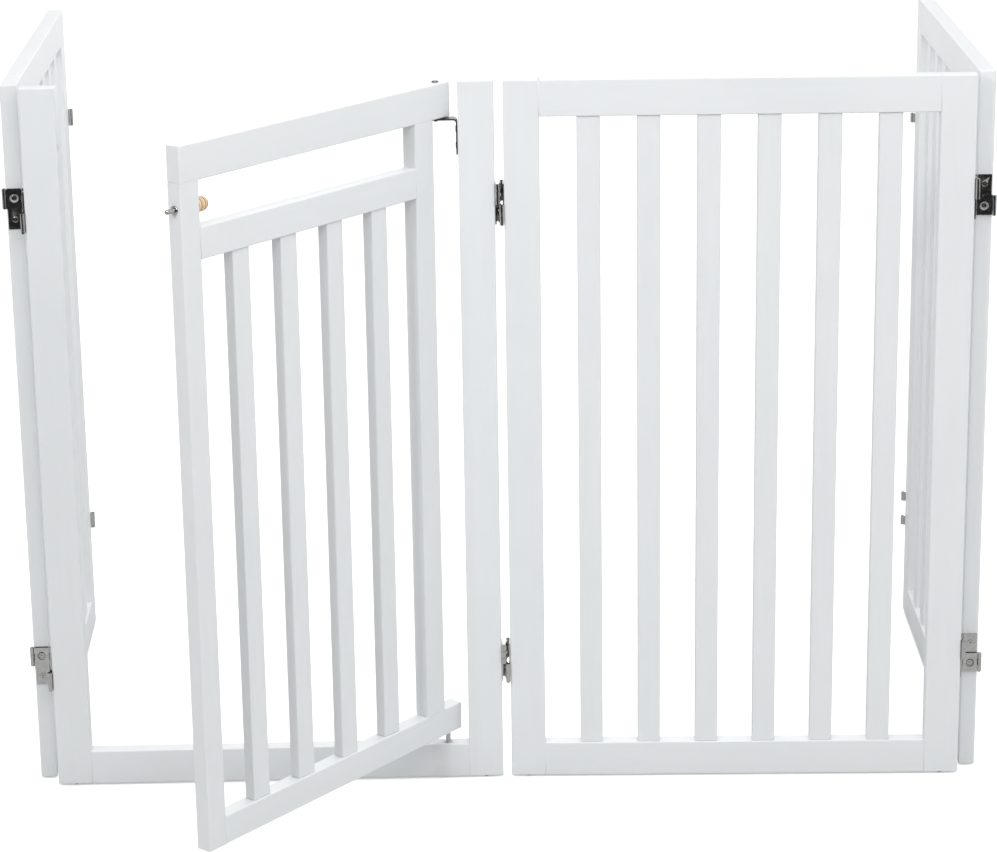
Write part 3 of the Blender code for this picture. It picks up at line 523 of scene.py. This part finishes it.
def loop_edges(bm, verts):
    edges = []
    for a, b in zip(verts, verts[1:] + verts[:1]):
        edges.append(bm.edges.get((a, b)) or bm.edges.new((a, b)))
    return edges


def cross(bm, radius, height, scale=1.0):
    """The outline of a cross-shaped recess, 12 corners."""
    reach = radius * RECESS_REACH * scale
    half = radius * RECESS_HALF_WIDTH * scale
    corner = [(reach, -half), (reach, half), (half, half)]
    verts = []
    for quarter in range(4):
        for x, y in corner:
            for _ in range(quarter):
                x, y = -y, x
            verts.append(bm.verts.new((x, y, height)))
    return verts


def finish_mesh(bm, name):
    bmesh.ops.recalc_face_normals(bm, faces=bm.faces)
    mesh = bpy.data.meshes.new(name)
    bm.to_mesh(mesh)
    bm.free()
    for polygon in mesh.polygons:
        polygon.use_smooth = True
    return mesh


def screw_mesh(name, profile, radius, recess):
    """A turned screw head with a cross recess in its top."""
    bm = bmesh.new()
    rim = turned_body(bm, profile)
    top = profile[-1][1]
    outline = cross(bm, radius, top)
    floor = cross(bm, radius, top - recess, RECESS_TAPER)
    edges = loop_edges(bm, rim) + loop_edges(bm, outline)
    bmesh.ops.triangle_fill(bm, edges=edges, use_beauty=True)
    join_rings(bm, outline, floor)
    bm.faces.new(floor)
    return finish_mesh(bm, name)


def leaf_screw_mesh():
    """A countersunk screw, flush with its leaf."""
    cone = [
        (LEAF_SCREW_SHANK, -LEAF_SCREW_DEPTH),
        (LEAF_SCREW_RADIUS * 0.97, -LEAF_SCREW_CONE_TOP),
        (LEAF_SCREW_RADIUS, -LEAF_SCREW_RIM),
    ]
    profile = cone + sized(LEAF_SCREW_HEAD, LEAF_SCREW_RADIUS, LEAF_SCREW_DOME)
    return screw_mesh("leaf_screw", profile, LEAF_SCREW_RADIUS, LEAF_RECESS_DEPTH)


def bracket_screw_mesh():
    profile = sized(BRACKET_SCREW_HEAD, BRACKET_SCREW_RADIUS, BRACKET_SCREW_HEIGHT)
    return screw_mesh("bracket_screw", profile, BRACKET_SCREW_RADIUS, BRACKET_RECESS_DEPTH)


def glide_mesh():
    """A nail-on glide: a low disc with a rounded rim and a slightly hollow middle."""
    foot = [
        (GLIDE_RADIUS * 0.35, GLIDE_HOLLOW),
        (GLIDE_RADIUS * 0.62, 0.0),
        (GLIDE_RADIUS * 0.84, GLIDE_EASE),
    ]
    bm = bmesh.new()
    bm.faces.new(turned_body(bm, foot + sized(GLIDE_RIM, GLIDE_RADIUS, GLIDE_HEIGHT)))
    return finish_mesh(bm, "glide")


def add_piece(name, mesh, matrix, body, slot, finishes):
    """A piece that rides on a body and takes its finish from a slot."""
    piece = bpy.data.objects.new(name, mesh)
    bpy.context.scene.collection.objects.link(piece)
    piece.matrix_world = matrix
    if not mesh.materials:
        mesh.materials.append(finishes[slot])
    split = piece.modifiers.new("corners", "EDGE_SPLIT")
    split.split_angle = math.radians(SHARP_ANGLE)
    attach(piece, body)


def leaf_screw_places(panels):
    """The two screws in each of the 16 hinge leaves on the panels' edges: name, place and panel."""
    for panel, frame_of_panel in panels.items():
        edges = {
            "left": frame_of_panel @ shift(-HINGE_GAP / 2) @ turn(180, "Y"),
            "right": frame_of_panel @ shift(PANEL_WIDTH + HINGE_GAP / 2),
        }
        for edge, at_edge in edges.items():
            up = -1 if edge == "left" else 1
            for level, height in HINGE_HEIGHTS.items():
                leaf = at_edge @ shift(z=up * (PANEL_BASE + height))
                for number, side in ((1, -1), (2, 1)):
                    spot = leaf @ shift(LEAF_FACE_X, 0, side * LEAF_SCREW_HEIGHT)
                    yield f"{panel}_{edge}_{level}_screw_{number}", spot @ turn(90, "Y"), panel


def add_leaf_screws(panels, finishes):
    mesh = leaf_screw_mesh()
    for count, (name, spot, panel) in enumerate(leaf_screw_places(panels)):
        turned = spot @ turn(count * SCREW_TURN)
        add_piece(name, mesh, turned, PANEL_BODY[panel], "nickel_plate", finishes)


def add_bracket_screws(root, finishes):
    """Two pan-head screws through the pivot bracket's upright leg."""
    mesh = bracket_screw_mesh()
    for number, drop in enumerate(BRACKET_SCREW_DROPS, 1):
        spot = root @ shift(BRACKET_FACE_X, 0, BRACKET_TOP - drop)
        spot = spot @ turn(-90, "Y") @ turn(number * SCREW_TURN)
        add_piece(f"pivot_bracket_screw_{number}", mesh, spot, "frame", "dark_steel", finishes)


def add_glides(panels, finishes):
    """The glides under the stiles that have no foot in the CAD."""
    mesh = glide_mesh()
    left_stile = STILE_WIDTH / 2
    right_stile = PANEL_WIDTH - STILE_WIDTH / 2
    spots = {
        "left_wing_right_glide": ("left_wing", right_stile),
        "right_wing_left_glide": ("right_wing", left_stile),
        "plain_panel_left_glide": ("plain_panel", left_stile),
    }
    for name, (panel, along) in spots.items():
        spot = panels[panel] @ shift(along)
        add_piece(name, mesh, spot, PANEL_BODY[panel], "black_plastic", finishes)


def shorten_spring(spring):
    """Gives the latch spring a mesh of its own; it isn't shortened here."""
    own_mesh(spring)


# ---------------------------------------------------------------- joint filler


def filler_outline(both_faces):
    """The section of the gap between a board's eased edge, at x = 0, and the next board's end."""
    gap = FILLER_CLEARANCE
    face = BOARD / 2 - gap
    start = math.asin((EASED_EDGE - gap) / (EASED_EDGE + gap))
    corner = []
    for step in range(FILLER_ARC_STEPS + 1):
        angle = start * (1 - step / FILLER_ARC_STEPS)
        x = -EASED_EDGE + (EASED_EDGE + gap) * math.cos(angle)
        y = BOARD / 2 - EASED_EDGE + (EASED_EDGE + gap) * math.sin(angle)
        corner.append((x, y))
    far = FIT - gap
    if both_faces:
        return [(far, face), *corner, *[(x, -y) for x, y in reversed(corner)], (far, -face)]
    return [(far, face), *corner, (gap, 0), (far, 0)]


def filler_mesh(length, both_faces=True):
    """Wood filler in a joint, along z. Its ends draw back behind the eased edges that they meet."""
    bm = bmesh.new()
    end = length / 2 - FILLER_END
    bend = end - EASED_EDGE
    inside = BOARD / 2 - EASED_EDGE
    outline = filler_outline(both_faces)
    drawn_back = [
        (max(x, FILLER_CLEARANCE), max(-inside, min(inside, y))) for x, y in outline
    ]
    sections = ((drawn_back, -end), (outline, -bend), (outline, bend), (drawn_back, end))
    rings = [[bm.verts.new((x, y, z)) for x, y in section] for section, z in sections]
    for lower, upper in zip(rings, rings[1:]):
        join_rings(bm, lower, upper)
    bmesh.ops.remove_doubles(bm, verts=bm.verts, dist=FILLER_WELD)
    bmesh.ops.holes_fill(bm, edges=bm.edges)
    return finish_mesh(bm, "joint_filler")


def panel_joints(panels):
    """Each joint between a panel's rail and stile: its name, place, length and panel."""
    low = (PANEL_BASE + BOTTOM_RAIL_HEIGHT / 2, BOTTOM_RAIL_HEIGHT)
    high = (PANEL_BASE + PANEL_HEIGHT - TOP_RAIL_HEIGHT / 2, TOP_RAIL_HEIGHT)
    for panel, frame_of_panel in panels.items():
        rails = {"bottom": low} if panel == "door_panel" else {"bottom": low, "top": high}
        for rail, (height, length) in rails.items():
            left = frame_of_panel @ shift(STILE_WIDTH, 0, height)
            right = frame_of_panel @ shift(PANEL_WIDTH - STILE_WIDTH, 0, height) @ turn(180)
            yield f"{panel}_{rail}_rail_left_joint", left, length, panel
            yield f"{panel}_{rail}_rail_right_joint", right, length, panel


def door_joints(door):
    """The joints of the door's boards: name, place and length."""
    latch_inner = -DOOR_REACH + LATCH_STILE
    hinge_inner = -HINGE_STILE_START - HINGE_STILE
    latch_middle = latch_inner - LATCH_STILE / 2
    hinge_middle = hinge_inner + HINGE_STILE / 2
    under_top = PANEL_BASE + DOOR_TOP - DOOR_TOP_RAIL
    second = PANEL_BASE + SECOND_RAIL_TOP - SECOND_RAIL / 2
    over_bottom = PANEL_BASE + DOOR_BOTTOM + DOOR_BOTTOM_RAIL
    low = over_bottom - DOOR_BOTTOM_RAIL / 2
    down, up = turn(90, "Y"), turn(-90, "Y")
    joints = (
        ("second_rail_latch", latch_inner, second, turn(0), SECOND_RAIL),
        ("second_rail_hinge", hinge_inner, second, turn(180), SECOND_RAIL),
        ("bottom_rail_latch", latch_inner, low, turn(0), DOOR_BOTTOM_RAIL),
        ("top_rail_latch", latch_middle, under_top, down, LATCH_STILE),
        ("top_rail_hinge", hinge_middle, under_top, down, HINGE_STILE),
        ("bottom_rail_hinge", hinge_middle, over_bottom, up, HINGE_STILE),
    )
    for name, x, z, facing, length in joints:
        yield f"door_{name}_joint", door @ shift(x, 0, z) @ facing, length


def latch_end_joint(door):
    """Where the joint under the door's top rail shows on the latch stile's outer edge."""
    corner = shift(-DOOR_REACH + BOARD / 2, 0, PANEL_BASE + DOOR_TOP - DOOR_TOP_RAIL)
    return door @ corner @ turn(90, "Y") @ turn(-90, "X")


def add_joint_fillers(root, panels, finishes):
    """Painted filler in the joints between boards, so that they show as faint lines only."""
    door = root @ shift(PIVOT_X) @ turn(DOOR_SWING)
    for name, spot, length, panel in panel_joints(panels):
        add_piece(name, filler_mesh(length), spot, PANEL_BODY[panel], PAINT_SLOT, finishes)
    for name, spot, length in door_joints(door):
        add_piece(name, filler_mesh(length), spot, "door", PAINT_SLOT, finishes)
    end = filler_mesh(BOARD, both_faces=False)
    spot = latch_end_joint(door)
    add_piece("door_top_rail_latch_end_joint", end, spot, "door", PAINT_SLOT, finishes)


# ---------------------------------------------------------------- studio


def add_stage_plane(name, corners, material):
    mesh = bpy.data.meshes.new(name)
    mesh.from_pydata(corners, [], [tuple(range(len(corners)))])
    mesh.materials.append(material)
    plane = bpy.data.objects.new(name, mesh)
    bpy.context.scene.collection.objects.link(plane)
    return plane


def add_floor():
    """A wide pale floor that meets the white background."""
    nodes = Finish("studio_floor")
    point = nodes.coordinates()
    cloud = nodes.noise(point, scale=1.5)
    fine = nodes.noise(point, scale=300.0, detail=2.0)
    colour = nodes.ramp(cloud, (0.3, grey(0.93)), (0.7, grey(0.95)))
    roughness = nodes.spread(cloud, low=0.75, high=0.85)
    normal = nodes.bump(fine, distance=0.0001, strength=0.2)
    material = nodes.shade(
        colour, roughness, normal, Specular_IOR_Level=0.1,
        Emission_Color=WHITE, Emission_Strength=FLOOR_LIFT,
    )
    bounce = nodes.add("ShaderNodeBsdfDiffuse", Color=(*grey(FLOOR_BOUNCE), 1)).outputs[0]
    surface = nodes.by_camera(lit=bounce, seen=nodes.shader.outputs[0])
    nodes.put(nodes.output.inputs["Surface"], surface)
    r = FLOOR_REACH
    add_stage_plane("studio_floor", [(-r, -r, 0), (r, -r, 0), (r, r, 0), (-r, r, 0)], material)


def add_card(root):
    """The dark end of the studio in front of the set: bright metal mirrors it."""
    nodes = Finish("studio_card")
    cloud = nodes.noise(nodes.coordinates(), scale=2.0)
    colour = nodes.ramp(cloud, (0.3, grey(0.008)), (0.7, grey(0.014)))
    normal = nodes.bump(cloud, distance=0.001, strength=0.1)
    material = nodes.shade(colour, 0.9, normal)
    x, y, z = CARD_HALF_WIDTH, root.translation.y + CARD_Y, CARD_HEIGHT
    card = add_stage_plane("studio_card", [(-x, y, 0), (x, y, 0), (x, y, z), (-x, y, z)], material)
    card.visible_camera = False
    card.visible_shadow = False


def add_world():
    """White to the camera. Its light is brightest above and to the right, and dim low in front."""
    world = bpy.data.worlds.new("studio")
    bpy.context.scene.world = world
    nodes = Nodes(world)
    direction = nodes.add("ShaderNodeTexCoord").outputs["Generated"]
    dot = nodes.add("ShaderNodeVectorMath", direction, Vector(WORLD_TOWARDS).normalized())
    dot.operation = "DOT_PRODUCT"
    level = nodes.spread(
        dot.outputs["Value"], WORLD_DIM, WORLD_BRIGHT, WORLD_DIM_BELOW, WORLD_BRIGHT_ABOVE
    )
    lit = nodes.add("ShaderNodeBackground", Color=WHITE, Strength=level).outputs[0]
    seen = nodes.add("ShaderNodeBackground", Color=WHITE, Strength=1.0).outputs[0]
    nodes.add("ShaderNodeOutputWorld", Surface=nodes.by_camera(lit, seen))


def add_light(name, place, aim, size, power):
    """A square light at a place, facing the point aim."""
    light = bpy.data.lights.new(name, "AREA")
    light.shape = "SQUARE"
    light.size = size
    light.energy = power
    lamp = bpy.data.objects.new(name, light)
    bpy.context.scene.collection.objects.link(lamp)
    lamp.location = place
    lamp.visible_camera = False
    lamp.rotation_mode = "QUATERNION"
    lamp.rotation_quaternion = (aim - place).to_track_quat("-Z", "Y")


def add_lights(root):
    """A key light in line with the door's plane, and softboxes overhead and all round."""
    centre = Vector((root.translation.x, root.translation.y, LIGHTS_CENTRE_HEIGHT))
    angle = math.radians(DOOR_SWING)
    rise = math.radians(KEY_ELEVATION)
    level = math.cos(rise)
    towards = Vector((-math.cos(angle) * level, -math.sin(angle) * level, math.sin(rise)))
    add_light("key", centre + towards * KEY_DISTANCE, centre, KEY_SIZE, KEY_POWER)
    for name, box in SOFTBOXES.items():
        place, aim = (centre + Vector(box[end]) for end in ("place", "aim"))
        add_light(name, place, aim, box["size"], box["power"])


def add_camera(root):
    yaw, pitch, roll = (math.radians(a) for a in (CAMERA_YAW, CAMERA_PITCH, CAMERA_ROLL))
    level = math.cos(pitch)
    ahead = Vector((-math.sin(yaw) * level, math.cos(yaw) * level, -math.sin(pitch)))
    level_right = Vector((math.cos(yaw), math.sin(yaw), 0))
    level_up = level_right.cross(ahead)
    right = math.cos(roll) * level_right + math.sin(roll) * level_up
    up = math.cos(roll) * level_up - math.sin(roll) * level_right
    data = bpy.data.cameras.new("camera")
    data.lens = CAMERA_LENS
    data.sensor_width = CAMERA_SENSOR
    data.shift_x, data.shift_y = CAMERA_SHIFT
    data.clip_end = CAMERA_CLIP_END
    camera = bpy.data.objects.new("camera", data)
    bpy.context.scene.collection.objects.link(camera)
    spot = root.translation + CAMERA_OFFSET
    spot.z = CAMERA_HEIGHT
    turned = Matrix((right, up, -ahead)).transposed().to_4x4()
    camera.matrix_world = Matrix.Translation(spot) @ turned
    bpy.context.scene.camera = camera


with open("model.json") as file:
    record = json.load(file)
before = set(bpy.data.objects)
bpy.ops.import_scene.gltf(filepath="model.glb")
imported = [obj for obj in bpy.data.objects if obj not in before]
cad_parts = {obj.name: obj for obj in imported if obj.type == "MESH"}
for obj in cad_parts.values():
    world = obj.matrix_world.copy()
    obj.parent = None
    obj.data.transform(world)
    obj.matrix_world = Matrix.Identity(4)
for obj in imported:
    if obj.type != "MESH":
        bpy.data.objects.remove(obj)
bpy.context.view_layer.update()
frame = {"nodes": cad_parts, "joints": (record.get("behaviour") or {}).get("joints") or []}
root = gate_root(frame["joints"])
panels = panel_frames(root)
finishes = make_finishes()
dress_frame(frame["nodes"], finishes)
add_joint_fillers(root, panels, finishes)
add_leaf_screws(panels, finishes)
add_bracket_screws(root, finishes)
add_glides(panels, finishes)
shorten_spring(frame["nodes"]["latch_spring"])
add_floor()
add_card(root)
add_world()
add_lights(root)
add_camera(root)
bpy.context.scene.view_settings.view_transform = "Standard"
bpy.context.view_layer.update()
